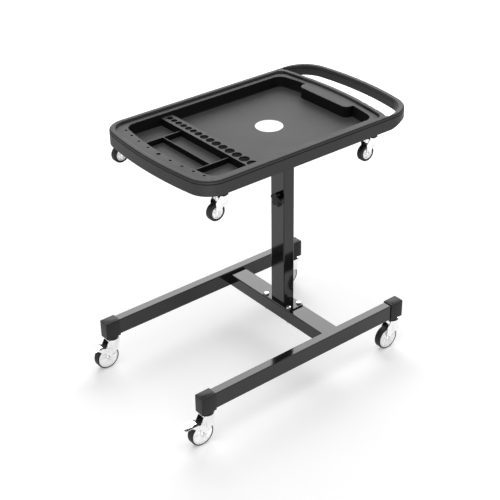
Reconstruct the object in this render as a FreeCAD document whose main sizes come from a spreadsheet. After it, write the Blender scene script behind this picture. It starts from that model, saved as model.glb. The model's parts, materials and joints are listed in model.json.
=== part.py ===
import FreeCAD, Part
import math
import os
import re
import Sketcher
from FreeCAD import Placement, Rotation, Vector

# Lifting work table: a moulded tool tray on a telescopic post, over two legs on casters.
# X runs along the legs, with the grab bar at +X. Y runs to the rear and Z up.
# The origin is on the floor, under the middle of the whole object.

SIZES = [
    ("leg_length", 764, "steel leg tube, end to end"),
    ("leg_wide", 29, "leg tube across"),
    ("leg_tall", 51, "leg tube height"),
    ("leg_apart", 473, "between the middles of the two legs"),
    ("tube_wall", 2, "wall of every steel tube"),
    ("tube_corner", 3, "outer corner radius of every steel tube"),
    ("cap_long", 48, "plastic end cap along the leg"),
    ("cap_wall", 3, "wall of the end cap"),
    ("cap_play", 0.1, "clearance of the cap round the leg"),
    ("cap_corner", 3, "rounding of the end cap"),
    ("cap_panel", 0.8, "raised panel on top of the end cap"),
    ("bar_wide", 60, "cross bar along X"),
    ("bar_tall", 42, "cross bar height"),
    ("post_across", 40, "post along X"),
    ("post_deep", 60, "post along Y"),
    ("post_length", 532, "post, foot to top"),
    ("post_place", 116, "post from the middle of the legs"),
    ("foot_plate_across", 56, "foot plate along X"),
    ("foot_plate_deep", 130, "foot plate along Y"),
    ("foot_plate_thick", 4.5, "foot plate thickness"),
    ("foot_bolt", 8, "foot bolt diameter"),
    ("foot_bolt_side", 20, "foot bolt from the post middle along X"),
    ("foot_bolt_end", 52, "foot bolt from the post middle along Y"),
    ("bolt_play", 0.2, "clearance of a bolt in its hole, all round"),
    ("mast_across", 30, "mast along X"),
    ("mast_deep", 50, "mast along Y"),
    ("slide_play", 0.15, "running clearance of the mast, each side"),
    ("plug_play", 0.25, "running clearance of the foot plug, each side"),
    ("plug_foot", 15, "foot plug below the mast"),
    ("plug_gap", 5, "foot plug above the foot plate, lowered"),
    ("plug_spigot", 18, "foot plug inside the mast"),
    ("guide_lip", 4, "guide sleeve above the post"),
    ("guide_skirt", 40, "guide sleeve inside the post"),
    ("guide_brim", 2, "guide sleeve past the post, each side"),
    ("socket_gap", 7, "gap between guide sleeve and tray socket, at the lowest"),
    ("socket_depth", 37, "depth of the socket over the mast"),
    ("mast_length", "=post_length + guide_lip + socket_gap + socket_depth - plug_foot - plug_gap",
     "mast, end to end"),
    ("socket_plate_across", 100, "socket plate along X"),
    ("socket_plate_deep", 120, "socket plate along Y"),
    ("socket_plate_thick", 3, "socket plate thickness"),
    ("socket_screw", 6, "socket screw diameter"),
    ("socket_screw_side", 38, "socket screw from the post middle along X"),
    ("socket_screw_end", 48, "socket screw from the post middle along Y"),
    ("socket_screw_deep", 9, "socket screw inside the tray pad"),
    ("knob_height", 517, "lock knob above the floor"),
    ("knob_side", 15, "lock knob off the post middle, to the front"),
    ("knob_hub", 16, "lock knob hub radius"),
    ("knob_lobe", 7.5, "lock knob lobe radius"),
    ("knob_lobe_out", 15.5, "lobe middle from the knob axis"),
    ("knob_lobes", 5, "number of lobes"),
    ("knob_thick", 14, "lock knob thickness"),
    ("knob_gap", 1.8, "knob off its boss when tight"),
    ("lock_thread", 10, "lock screw diameter"),
    ("lock_tip_gap", 0.2, "lock screw tip off the mast"),
    ("lock_play", 0.08, "clearance of the lock screw, all round"),
    ("boss_round", 22, "welded boss diameter"),
    ("boss_thick", 5, "welded boss thickness"),
    ("base_height", 102.5, "base caster, floor to mounting face"),
    ("base_radius", 37.5, "base wheel radius"),
    ("base_hub", 27.5, "base wheel centre radius"),
    ("base_trail", 24, "base wheel behind its swivel"),
    ("fork_play", 1.5, "clearance between a wheel and its fork, each side"),
    ("fork_rake", 2, "rear edge of a fork's shoulder ahead of its eye"),
    ("base_tread", 22, "base wheel width"),
    ("base_plate", 2.5, "base fork plate"),
    ("base_crown", 20, "base fork crown radius"),
    ("base_eye", 9, "base fork eye radius"),
    ("base_shoulder", 23, "base fork shoulder below its crown"),
    ("base_stem", 10, "base stem diameter"),
    ("base_stem_up", 34, "base stem above the mounting face"),
    ("base_axle", 8, "base axle diameter"),
    ("base_stem_in", 26, "base stem from the outer face of the end cap"),
    ("tray_height", 75, "tray caster, wheel foot to mounting face"),
    ("tray_radius", 25, "tray wheel radius"),
    ("tray_hub", 17.5, "tray wheel centre radius"),
    ("tray_trail", 20, "tray wheel behind its swivel"),
    ("tray_tread", 20, "tray wheel width"),
    ("tray_plate", 2, "tray fork plate"),
    ("tray_crown", 17, "tray fork crown radius"),
    ("tray_eye", 7.5, "tray fork eye radius"),
    ("tray_shoulder", 14, "tray fork shoulder below its crown"),
    ("tray_stem", 8, "tray stem diameter"),
    ("tray_stem_up", 26, "tray stem above the mounting face"),
    ("tray_axle", 6, "tray axle diameter"),
    ("tray_stem_left", -272, "tray stems at the socket end, along X"),
    ("tray_stem_right", 254, "tray stems at the grab bar end, along X"),
    ("tray_stem_apart", 434, "tray stems, front to rear"),
    ("flange_thick", 3, "fixed flange of a swivel"),
    ("bearing_thick", 3.5, "ball race of a swivel"),
    ("pin_play", 0.05, "running clearance of pins and axles, all round"),
    ("side_play", 0.4, "clearance beside a wheel and behind a rivet head"),
    ("nut_thick", 8, "weld nut and bolt nut thickness"),
    ("pedal_plate", 2, "brake pedal plate"),
    ("pedal_play", 0.3, "clearance between pedal cheek and fork"),
    ("pedal_pin", 5, "pedal pin diameter"),
    ("pedal_rise", 27, "pedal pin above the axle"),
    ("pedal_lift", 14.2, "pedal tread above its pin"),
    ("pedal_near", 17, "pedal tread, near edge from its pin"),
    ("pedal_far", 60.5, "pedal tread, far edge from its pin"),
    ("pedal_lip", 3, "brake lip under the near edge"),
    ("rim_tall", 42, "tray skirt, foot to rim top"),
    ("rim_half", 235, "tray, middle to side"),
    ("left_reach", 352, "tray, middle to the socket end"),
    ("left_bow", 1225, "bow radius of the socket end"),
    ("left_corner", 68, "corner radius at the socket end"),
    ("handle_reach", 431, "tray, middle to the outside of the grab bar"),
    ("handle_thick", 18, "grab bar thickness"),
    ("slot_open", 82, "hand slot, from the end wall to the grab bar"),
    ("end_reach", "=handle_reach - handle_thick - slot_open",
     "tray, middle to the wall under the grab bar"),
    ("end_bow", 1150, "bow radius of that wall"),
    ("end_corner", 40, "corner radius of that wall"),
    ("handle_bow", 900, "bow radius of the grab bar"),
    ("handle_corner", 58, "corner radius of the grab bar"),
    ("handle_rise", 11, "grab bar foot above the skirt foot"),
    ("rail_back", 51, "side rails start before the end wall"),
    ("rail_start", "=end_reach - rail_back", "where the side rails leave the tray, along X"),
    ("rail_root", 5, "side rail thickness at that place"),
    ("relief_back", 13, "foot of the rails starts to rise before the end wall"),
    ("relief_run", 42, "length of that rise"),
    ("relief_start", "=end_reach - relief_back", "where the foot of the rails starts to rise"),
    ("relief_end", "=relief_start + relief_run", "where the foot of the rails is at full height"),
    ("slot_tip", 5, "rounding of the tips of the hand slot"),
    ("rim_round", 5, "rounding of the rim and grab bar"),
    ("bead_wide", 18, "rim bead across"),
    ("bead_tall", 6, "rim bead above the ledge"),
    ("moulded_wall", 4, "wall of the moulding"),
    ("floor_thick", 3, "tray floor thickness"),
    ("well_half", 199.5, "well, middle to side"),
    ("well_left", 299.4, "well, middle to the socket end"),
    ("well_left_bow", 950, "bow radius of the well there"),
    ("end_ledge", 34, "from the well to the outside of the end wall"),
    ("well_end", "=end_reach - end_ledge", "well, middle to the grab bar end"),
    ("well_end_bow", 900, "bow radius of the well there"),
    ("well_corner", 30, "well corner radius"),
    ("well_draft", 4, "draft of the well wall, degrees"),
    ("well_fillet", 4, "rounding where the well wall meets the floor"),
    ("strip_left", 161, "socket strip, near edge from the middle"),
    ("strip_right", 123, "socket strip, far edge from the middle"),
    ("strip_tall", 22, "socket strip above the floor"),
    ("divider_tall", 16, "dividers above the floor"),
    ("divider_thick", 3, "divider thickness"),
    ("divider_side", 107, "long dividers off the middle"),
    ("divider_cross", 221, "cross divider from the middle, along X"),
    ("box_deep", 33, "raised box along X"),
    ("box_left", "=well_end - box_deep", "raised box, near face from the middle"),
    ("box_half", 103, "raised box, middle to side"),
    ("box_corner", 20, "raised box corner radius"),
    ("driver_inset", 10, "driver holes outside the well edge"),
    ("driver_hole", 8, "driver hole diameter"),
    ("driver_hole_middle", 12, "middle driver hole diameter"),
    ("socket_web", 2.5, "web between socket holes"),
    ("socket_row_start", 191.7, "rear edge of the socket row"),
    ("stem_boss", 29, "caster boss diameter"),
    ("pad_across", 110, "thick pad under the floor, along X"),
    ("pad_deep", 132, "thick pad under the floor, along Y"),
    ("pad_thick", 12, "thick pad under the floor"),
]
DRIVER_HOLE_SIDES = (50, 97, 139, 176)
SOCKET_HOLES = (18, 18, 20, 20, 20, 20, 22, 24, 24, 26, 26, 28, 28, 30, 30)

doc = FreeCAD.newDocument("LiftingWorkTable")
sheet = doc.addObject("Spreadsheet::Sheet", "Sizes")
for row, (alias, number, note) in enumerate(SIZES, 1):
    sheet.set("A%d" % row, note)
    sheet.set("B%d" % row, str(number))
    sheet.setAlias("B%d" % row, alias)
doc.recompute()
ALIASES = {alias for alias, number, note in SIZES}

# Heights and places worked out from the sheet, as formulas.
MIDDLE = "(leg_length / 2 + cap_wall - base_stem_in + base_trail + pedal_far - handle_reach) / 2"
POST_X = MIDDLE + " + post_place"
LEG_FOOT = "base_height + cap_wall"
BAR_TOP = LEG_FOOT + " + bar_tall"
POST_FOOT = BAR_TOP + " + foot_plate_thick"
POST_TOP = POST_FOOT + " + post_length"
SOCKET_FOOT = POST_TOP + " + guide_lip + socket_gap"
MAST_TOP = SOCKET_FOOT + " + socket_depth"
TRAY_FOOT = MAST_TOP + " + socket_plate_thick + pad_thick"
LEDGE = "rim_tall - bead_tall"
CHANNEL_TOP = "(" + LEDGE + " - moulded_wall)"
CORNERS = {
    "front_left": (-1, -1),
    "rear_left": (-1, 1),
    "front_right": (1, -1),
    "rear_right": (1, 1),
}
nodes = []


def linked(formula):
    """The formula with each size named as a cell of the sheet."""
    return re.sub(r"[a-z_]+", lambda word: name_of(word.group()), formula)


def name_of(word):
    return "Sizes." + word if word in ALIASES else word


def value(formula):
    return float(sheet.evalExpression(linked(formula)))


def place(item, x="0", y="0", z="0"):
    for axis, formula in zip("xyz", (x, y, z)):
        item.setExpression(".Placement.Base." + axis, linked(formula))


def new_body(name, x="0", y="0", z="0"):
    body = doc.addObject("PartDesign::Body", name)
    body.Label = name
    place(body, x, y, z)
    nodes.append(body)
    return body


def new_sketch(body, plane, height="0"):
    """A sketch on an origin plane of the body, moved along the plane's normal."""
    sketch = body.newObject("Sketcher::SketchObject", body.Name + "_sketch")
    support = next(item for item in body.Origin.OriginFeatures if item.Role == plane + "_Plane")
    sketch.AttachmentSupport = [(support, "")]
    sketch.MapMode = "FlatFace"
    sketch.setExpression(".AttachmentOffset.Base.z", linked(height))
    return sketch


def tie(sketch, kind, where, formula):
    """A driving constraint whose value follows the sheet."""
    number = sketch.addConstraint(Sketcher.Constraint(kind, *where, value(formula)))
    sketch.setExpression("Constraints[%d]" % number, linked(formula))


def tie_point(sketch, item, end, x, y):
    tie(sketch, "DistanceX", (-1, 1, item, end), x)
    tie(sketch, "DistanceY", (-1, 1, item, end), y)


def draw_polygon(sketch, points):
    corners = [Vector(value(x), value(y), 0) for x, y in points]
    first = sketch.GeometryCount
    count = len(points)
    for index, corner in enumerate(corners):
        sketch.addGeometry(Part.LineSegment(corner, corners[(index + 1) % count]), False)
    for index in range(count):
        following = first + (index + 1) % count
        sketch.addConstraint(Sketcher.Constraint("Coincident", first + index, 2, following, 1))
    for index, (x, y) in enumerate(points):
        tie_point(sketch, first + index, 1, x, y)


def draw_rectangle(sketch, left, right, bottom, top):
    draw_polygon(sketch, [(left, bottom), (right, bottom), (right, top), (left, top)])


def draw_circle(sketch, x, y, diameter):
    centre = Vector(value(x), value(y), 0)
    circle = sketch.addGeometry(Part.Circle(centre, Vector(0, 0, 1), value(diameter) / 2), False)
    tie_point(sketch, circle, 3, x, y)
    tie(sketch, "Diameter", (circle,), diameter)


def arc(centre, radius, start, end):
    """The arc that runs anticlockwise about the centre from one point to the other."""
    angles = [math.atan2(point.y - centre.y, point.x - centre.x) for point in (start, end)]
    if angles[1] < angles[0]:
        angles[1] += 2 * math.pi
    return Part.ArcOfCircle(Part.Circle(centre, Vector(0, 0, 1), radius), *angles)


def corner_of(apex, bow, corner, half, sign):
    """Centres and tangent points of one bowed end: bow centre, corner centre, and both points."""
    bow_centre = Vector(apex - sign * bow, 0, 0)
    along = math.sqrt((bow - corner) ** 2 - (half - corner) ** 2)
    corner_centre = Vector(bow_centre.x + sign * along, half - corner, 0)
    on_side = Vector(corner_centre.x, half, 0)
    on_bow = bow_centre + (corner_centre - bow_centre).normalize() * bow
    return bow_centre, corner_centre, on_side, on_bow


def flipped(point):
    return Vector(point.x, -point.y, 0)


def draw_bowed(sketch, half, left, left_bow, left_corner, right, right_bow, right_corner):
    """A closed tray outline: straight sides, ends that bow outwards, round corners."""
    lc, lcorner, lside, lbow = corner_of(-value(left), value(left_bow), value(left_corner),
                                         value(half), -1)
    rc, rcorner, rside, rbow = corner_of(value(right), value(right_bow), value(right_corner),
                                         value(half), 1)
    first = sketch.GeometryCount
    pieces = [
        Part.LineSegment(flipped(lside), flipped(rside)),
        arc(flipped(rcorner), value(right_corner), flipped(rside), flipped(rbow)),
        arc(rc, value(right_bow), flipped(rbow), rbow),
        arc(rcorner, value(right_corner), rbow, rside),
        Part.LineSegment(rside, lside),
        arc(lcorner, value(left_corner), lside, lbow),
        arc(lc, value(left_bow), lbow, flipped(lbow)),
        arc(flipped(lcorner), value(left_corner), flipped(lbow), flipped(lside)),
    ]
    for piece in pieces:
        sketch.addGeometry(piece, False)
    for index in range(8):
        following = first + (index + 1) % 8
        sketch.addConstraint(Sketcher.Constraint("Tangent", first + index, 2, following, 1))
    for line, formula in ((first, "-(" + half + ")"), (first + 4, half)):
        sketch.addConstraint(Sketcher.Constraint("Horizontal", line))
        tie(sketch, "DistanceY", (-1, 1, line, 1), formula)
    for offset, formula in ((1, right_corner), (3, right_corner), (5, left_corner), (7, left_corner),
                            (2, right_bow), (6, left_bow)):
        tie(sketch, "Radius", (first + offset,), formula)
    for bow, formula in ((first + 2, "(" + right + ") - (" + right_bow + ")"),
                         (first + 6, "(" + left_bow + ") - (" + left + ")")):
        tie(sketch, "DistanceX", (-1, 1, bow, 3), formula)
        sketch.addConstraint(Sketcher.Constraint("PointOnObject", bow, 3, -1))


def pad(body, sketch, length, middle=False, reverse=False):
    feature = body.newObject("PartDesign::Pad", body.Name + "_pad")
    feature.Profile = sketch
    feature.SideType = "Symmetric" if middle else "One side"
    feature.Reversed = reverse
    feature.setExpression("Length", linked(length))
    doc.recompute()
    return feature


def pocket(body, sketch, length, middle=False, reverse=False, draft=None):
    """A cut against the sketch's normal, or along it when reversed; it has to remove something."""
    before = body.Shape.Volume
    feature = body.newObject("PartDesign::Pocket", body.Name + "_pocket")
    feature.Profile = sketch
    feature.SideType = "Symmetric" if middle else "One side"
    feature.Reversed = reverse
    feature.setExpression("Length", linked(length))
    if draft:
        feature.setExpression("TaperAngle", linked(draft))
    doc.recompute()
    if feature.Shape.Volume >= before:
        raise RuntimeError("a pocket of %s cuts nothing" % body.Name)
    return feature


def revolve(body, sketch, axis):
    feature = body.newObject("PartDesign::Revolution", body.Name + "_turn")
    feature.Profile = sketch
    feature.ReferenceAxis = (sketch, [axis])
    feature.Angle = 360
    doc.recompute()
    return feature


def round_edges(body, radius, wanted):
    """A fillet on the edges of the body that pass the test."""
    tip = body.Tip
    names = ["Edge%d" % (index + 1) for index, edge in enumerate(tip.Shape.Edges) if wanted(edge)]
    feature = body.newObject("PartDesign::Fillet", body.Name + "_fillet")
    feature.Base = (tip, names)
    feature.setExpression("Radius", linked(radius))
    doc.recompute()
    return feature


def middle_of(edge):
    return edge.valueAt((edge.FirstParameter + edge.LastParameter) / 2)


def runs_along(edge, axis):
    """Whether the edge is a straight line along the axis, given as 0, 1 or 2."""
    if edge.Curve.TypeId != "Part::GeomLine":
        return False
    return abs(edge.tangentAt(edge.FirstParameter)[axis]) > 0.999


def at_height(edge, height):
    return all(abs(point.z - height) < 0.01 for point in
               (edge.Vertexes[0].Point, edge.Vertexes[-1].Point, middle_of(edge)))


def cylinder(name, diameter, start, end, centre, axis="Z"):
    """A round bar from start to end along the axis, through the centre."""
    bar = doc.addObject("Part::Cylinder", name)
    bar.setExpression("Radius", linked("(" + diameter + ") / 2"))
    bar.setExpression("Height", linked("(" + end + ") - (" + start + ")"))
    turn = {"X": Rotation(Vector(0, 1, 0), 90), "Y": Rotation(Vector(1, 0, 0), -90), "Z": Rotation()}
    bar.Placement = Placement(Vector(), turn[axis])
    x, y, z = centre
    foot = {"X": (x + " + " + start, y, z), "Y": (x, y + " + " + start, z), "Z": (x, y, z + " + " + start)}
    place(bar, *foot[axis])
    return bar


def hexagon(name, across, start, end, centre, axis="Z"):
    """A six-sided bar, given across its flats."""
    bar = doc.addObject("Part::Prism", name)
    bar.Polygon = 6
    bar.setExpression("Circumradius", linked("(" + across + ") / sqrt(3)"))
    bar.setExpression("Height", linked("(" + end + ") - (" + start + ")"))
    turn = {"Y": Rotation(Vector(1, 0, 0), -90), "Z": Rotation()}
    bar.Placement = Placement(Vector(), turn[axis])
    x, y, z = centre
    foot = {"Y": (x, y + " + " + start, z), "Z": (x, y, z + " + " + start)}
    place(bar, *foot[axis])
    return bar


def fused(name, pieces):
    whole = doc.addObject("Part::MultiFuse", name)
    whole.Shapes = pieces
    return whole


def bored(name, solid, hole):
    whole = doc.addObject("Part::Cut", name)
    whole.Base = solid
    whole.Tool = hole
    return whole


def as_node(name, item):
    item.Label = name
    nodes.append(item)
    return item


def group(name, pieces):
    """Identical pieces that stay separate solids in one node."""
    whole = doc.addObject("Part::Compound", name)
    whole.Links = pieces
    return as_node(name, whole)


# Steel frame

def tube(name, plane, across, deep, length, centre, middle=False):
    """A square-cut steel tube with rounded corners, along the normal of the plane."""
    body = new_body(name, *centre)
    sketch = new_sketch(body, plane)
    for inset in ("0", "tube_wall"):
        half_across = "(" + across + ") / 2 - " + inset
        half_deep = "(" + deep + ") / 2 - " + inset
        draw_rectangle(sketch, "-(" + half_across + ")", half_across,
                       "-(" + half_deep + ")", half_deep)
    pad(body, sketch, length, middle=middle)
    axis = {"YZ": 0, "XZ": 1, "XY": 2}[plane]
    outer = {"YZ": (1, 2), "XZ": (0, 2), "XY": (0, 1)}[plane]
    reach = (value(across) / 2, value(deep) / 2)

    def is_outer(edge):
        point = middle_of(edge)
        on_corner = all(abs(abs(point[side]) - half) < 0.01 for side, half in zip(outer, reach))
        return runs_along(edge, axis) and on_corner

    round_edges(body, "tube_corner", is_outer)
    round_edges(body, "tube_corner - tube_wall",
                lambda edge: runs_along(edge, axis)
                and abs(abs(middle_of(edge)[outer[0]]) - (reach[0] - value("tube_wall"))) < 0.01)
    return body


def make_leg(name, side):
    body = tube(name, "YZ", "leg_wide", "leg_tall", "leg_length",
                (MIDDLE, "%d * leg_apart / 2" % side, LEG_FOOT + " + leg_tall / 2"), middle=True)
    holes = new_sketch(body, "XY", "-leg_tall / 2 + tube_wall")
    for end in (-1, 1):
        draw_circle(holes, "%d * (leg_length / 2 + cap_wall - base_stem_in)" % end, "0", "base_stem")
    pocket(body, holes, "tube_wall")


def make_end_cap(name, end, side):
    """A moulded sleeve over the end of a leg, closed at its outer face."""
    body = new_body(name, MIDDLE + " + %d * (leg_length / 2 + cap_wall)" % end,
                    "%d * leg_apart / 2" % side, LEG_FOOT + " + leg_tall / 2")
    body.Placement = Placement(body.Placement.Base, Rotation(Vector(0, 0, 1), 0 if end < 0 else 180))
    half_wide = "leg_wide / 2 + cap_play"
    half_tall = "leg_tall / 2 + cap_play"
    block = new_sketch(body, "YZ")
    draw_rectangle(block, "-(" + half_wide + " + cap_wall)", half_wide + " + cap_wall",
                   "-(leg_tall / 2 + cap_wall)", half_tall + " + cap_wall")
    pad(body, block, "cap_long")
    round_edges(body, "cap_corner",
                lambda edge: runs_along(edge, 0) or abs(middle_of(edge).x) < 0.01)
    mouth = new_sketch(body, "YZ", "cap_wall")
    draw_rectangle(mouth, "-(" + half_wide + ")", half_wide, "-leg_tall / 2", half_tall)
    pocket(body, mouth, "cap_long", reverse=True)
    top = new_sketch(body, "XY", half_tall + " + cap_wall")
    draw_rectangle(top, "2 * cap_corner", "cap_long - 2 * cap_corner",
                   "-leg_wide / 2 + cap_corner", "leg_wide / 2 - cap_corner")
    pad(body, top, "cap_panel")
    hole = new_sketch(body, "XY", "-leg_tall / 2")
    draw_circle(hole, "base_stem_in", "0", "base_stem")
    pocket(body, hole, "cap_wall")


def make_cross_bar():
    body = tube("cross_bar", "XZ", "bar_wide", "bar_tall", "leg_apart - leg_wide",
                (POST_X, "0", LEG_FOOT + " + bar_tall / 2"), middle=True)
    holes = new_sketch(body, "XY", "bar_tall / 2")
    for x, y in four_places("foot_bolt_side", "foot_bolt_end"):
        draw_circle(holes, x, y, "foot_bolt + 2 * bolt_play")
    pocket(body, holes, "bar_tall")


def four_places(side, end):
    return [("%d * %s" % (a, side), "%d * %s" % (b, end)) for a in (-1, 1) for b in (-1, 1)]


def make_foot_plate():
    body = new_body("foot_plate", POST_X, "0", BAR_TOP)
    sketch = new_sketch(body, "XY")
    draw_rectangle(sketch, "-foot_plate_across / 2", "foot_plate_across / 2",
                   "-foot_plate_deep / 2", "foot_plate_deep / 2")
    for x, y in four_places("foot_bolt_side", "foot_bolt_end"):
        draw_circle(sketch, x, y, "foot_bolt + 2 * bolt_play")
    pad(body, sketch, "foot_plate_thick")
    round_edges(body, "tube_corner", lambda edge: runs_along(edge, 2))


def make_foot_fasteners():
    bolts = []
    nuts = []
    for number, (x, y) in enumerate(four_places("foot_bolt_side", "foot_bolt_end"), 1):
        centre = (POST_X + " + " + x, y, POST_FOOT)
        grip = "-(foot_plate_thick + bar_tall)"
        head = hexagon("foot_bolt_head_%d" % number, "foot_bolt * 1.625", "0", "foot_bolt * 0.66", centre)
        shank = cylinder("foot_bolt_shank_%d" % number, "foot_bolt",
                         grip + " - foot_bolt", "foot_bolt / 4", centre)
        bolts.append(fused("foot_bolt_%d" % number, [head, shank]))
        block = hexagon("foot_nut_block_%d" % number, "foot_bolt * 1.625",
                        grip + " - foot_bolt * 0.8", grip, centre)
        thread = cylinder("foot_nut_thread_%d" % number, "foot_bolt",
                          grip + " - foot_bolt * 2", grip + " + 1", centre)
        nuts.append(bored("foot_nut_%d" % number, block, thread))
    group("foot_bolts", bolts)
    group("foot_nuts", nuts)


# Post, mast and lock

def make_post():
    body = tube("post", "XY", "post_across", "post_deep", "post_length", (POST_X, "0", POST_FOOT))
    hole = new_sketch(body, "YZ", "-post_across / 2")
    draw_circle(hole, "-knob_side", "knob_height - (" + POST_FOOT + ")", "lock_thread + 2 * lock_play")
    pocket(body, hole, "tube_wall * 2", reverse=True)


def make_guide_sleeve():
    """The plastic collar in the top of the post that the mast slides through."""
    body = new_body("mast_guide_sleeve", POST_X, "0", POST_TOP)
    skirt = new_sketch(body, "XY")
    brim = new_sketch(body, "XY")
    bore = ("mast_across / 2 + slide_play", "mast_deep / 2 + slide_play")
    outside = {
        skirt: ("post_across / 2 - tube_wall", "post_deep / 2 - tube_wall"),
        brim: ("post_across / 2 + guide_brim", "post_deep / 2 + guide_brim"),
    }
    for sketch, (half_x, half_y) in outside.items():
        draw_rectangle(sketch, "-(" + half_x + ")", half_x, "-(" + half_y + ")", half_y)
        draw_rectangle(sketch, "-(" + bore[0] + ")", bore[0], "-(" + bore[1] + ")", bore[1])
    pad(body, skirt, "guide_skirt", reverse=True)
    reach = value("post_across / 2 - tube_wall")
    round_edges(body, "tube_corner - tube_wall",
                lambda edge: runs_along(edge, 2) and abs(abs(middle_of(edge).x) - reach) < 0.01)
    pad(body, brim, "guide_lip")
    corner = value("post_across / 2 + guide_brim")
    round_edges(body, "tube_corner",
                lambda edge: runs_along(edge, 2) and abs(abs(middle_of(edge).x) - corner) < 0.01)
    round_edges(body, "guide_lip / 3",
                lambda edge: at_height(edge, value("guide_lip")) and is_outside(edge, corner))


def is_outside(edge, reach):
    """Whether the edge belongs to the outer loop of the sleeve's brim."""
    point = middle_of(edge)
    side = value("post_deep / 2 + guide_brim")
    corner = value("tube_corner") + 0.1
    return abs(point.x) > reach - corner or abs(point.y) > side - corner


def make_mast():
    tube("mast", "XY", "mast_across", "mast_deep", "mast_length",
         (POST_X, "0", MAST_TOP + " - mast_length"))


def make_mast_plug():
    body = new_body("mast_foot_plug", POST_X, "0", MAST_TOP + " - mast_length")
    foot = new_sketch(body, "XY")
    half_x = "post_across / 2 - tube_wall - plug_play"
    half_y = "post_deep / 2 - tube_wall - plug_play"
    draw_rectangle(foot, "-(" + half_x + ")", half_x, "-(" + half_y + ")", half_y)
    pad(body, foot, "plug_foot", reverse=True)
    round_edges(body, "tube_corner - tube_wall / 2", lambda edge: runs_along(edge, 2))
    spigot = new_sketch(body, "XY")
    half_x = "mast_across / 2 - tube_wall - cap_play"
    half_y = "mast_deep / 2 - tube_wall - cap_play"
    draw_rectangle(spigot, "-(" + half_x + ")", half_x, "-(" + half_y + ")", half_y)
    pad(body, spigot, "plug_spigot")
    reach = value(half_x)
    round_edges(body, "tube_corner - tube_wall",
                lambda edge: runs_along(edge, 2) and abs(abs(middle_of(edge).x) - reach) < 0.01
                and middle_of(edge).z > 0)


def make_knob():
    """A five-lobed hand knob, modelled with its axis along X."""
    body = new_body("lock_knob", POST_X + " - post_across / 2 - boss_thick - knob_gap",
                    "-knob_side", "knob_height")
    hub = new_sketch(body, "YZ")
    draw_circle(hub, "0", "0", "2 * knob_hub")
    pad(body, hub, "knob_thick", reverse=True)
    lobe = new_sketch(body, "YZ")
    draw_circle(lobe, "0", "knob_lobe_out", "2 * knob_lobe")
    first = pad(body, lobe, "knob_thick", reverse=True)
    ring = body.newObject("PartDesign::PolarPattern", "lock_knob_lobes")
    ring.Originals = [first]
    ring.Axis = (lobe, ["N_Axis"])
    ring.Angle = 360
    ring.setExpression("Occurrences", linked("knob_lobes"))
    body.Tip = ring
    doc.recompute()
    front = value("knob_thick")
    round_edges(body, "knob_thick / 6",
                lambda edge: all(abs(point.Point.x + front) < 0.01 for point in edge.Vertexes))
    screw_hole = new_sketch(body, "YZ")
    draw_circle(screw_hole, "0", "0", "lock_thread + 2 * pin_play")
    pocket(body, screw_hole, "knob_thick * 0.7")


def make_lock_screw():
    face = POST_X + " - post_across / 2"
    centre = (face, "-knob_side", "knob_height")
    back = "-(boss_thick + knob_gap + knob_thick * 0.7 - side_play)"
    tip = "(post_across - mast_across) / 2 - lock_tip_gap"
    as_node("lock_screw", cylinder("lock_screw", "lock_thread", back, tip, centre, axis="X"))


def make_lock_boss():
    centre = (POST_X + " - post_across / 2", "-knob_side", "knob_height")
    disc = cylinder("lock_boss_disc", "boss_round", "-boss_thick", "0", centre, axis="X")
    hole = cylinder("lock_boss_hole", "lock_thread + 2 * lock_play", "-boss_thick - 1", "1",
                    centre, axis="X")
    as_node("lock_boss", bored("lock_boss", disc, hole))


def make_tray_socket():
    """The steel socket under the tray that drops over the top of the mast."""
    body = new_body("tray_socket", POST_X, "0", SOCKET_FOOT)
    inner = ("mast_across / 2 + slide_play", "mast_deep / 2 + slide_play")
    sleeve = new_sketch(body, "XY")
    for extra in ("tube_wall", "0"):
        half_x = inner[0] + " + " + extra
        half_y = inner[1] + " + " + extra
        draw_rectangle(sleeve, "-(" + half_x + ")", half_x, "-(" + half_y + ")", half_y)
    pad(body, sleeve, "socket_depth")
    outer = value(inner[0] + " + tube_wall")
    round_edges(body, "tube_corner",
                lambda edge: runs_along(edge, 2) and abs(abs(middle_of(edge).x) - outer) < 0.01)
    plate = new_sketch(body, "XY", "socket_depth")
    draw_rectangle(plate, "-socket_plate_across / 2", "socket_plate_across / 2",
                   "-socket_plate_deep / 2", "socket_plate_deep / 2")
    for x, y in four_places("socket_screw_side", "socket_screw_end"):
        draw_circle(plate, x, y, "socket_screw + 2 * bolt_play")
    pad(body, plate, "socket_plate_thick")


def make_socket_screws():
    screws = []
    for number, (x, y) in enumerate(four_places("socket_screw_side", "socket_screw_end"), 1):
        centre = (POST_X + " + " + x, y, MAST_TOP)
        head = hexagon("socket_screw_head_%d" % number, "socket_screw * 1.67",
                       "-socket_screw * 0.66", "0", centre)
        shank = cylinder("socket_screw_shank_%d" % number, "socket_screw", "-1",
                         "socket_plate_thick + socket_screw_deep", centre)
        screws.append(fused("socket_screw_%d" % number, [head, shank]))
    group("socket_screws", screws)


# Casters: one set of functions for the two sizes, whose cells start with base_ or tray_

def caster_place(kind, corner):
    along, side = CORNERS[corner]
    if kind == "base":
        return (MIDDLE + " + %d * (leg_length / 2 + cap_wall - base_stem_in)" % along,
                "%d * leg_apart / 2" % side, "base_height")
    stem = "tray_stem_left" if along < 0 else "tray_stem_right"
    return (MIDDLE + " + " + stem, "%d * tray_stem_apart / 2" % side, TRAY_FOOT)


def crown_top(kind):
    return "-(flange_thick + bearing_thick)"


def axle_height(kind):
    return "(%s_radius - %s_height)" % (kind, kind)


def fork_inside(kind):
    return "(%s_tread / 2 + fork_play)" % kind


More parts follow.
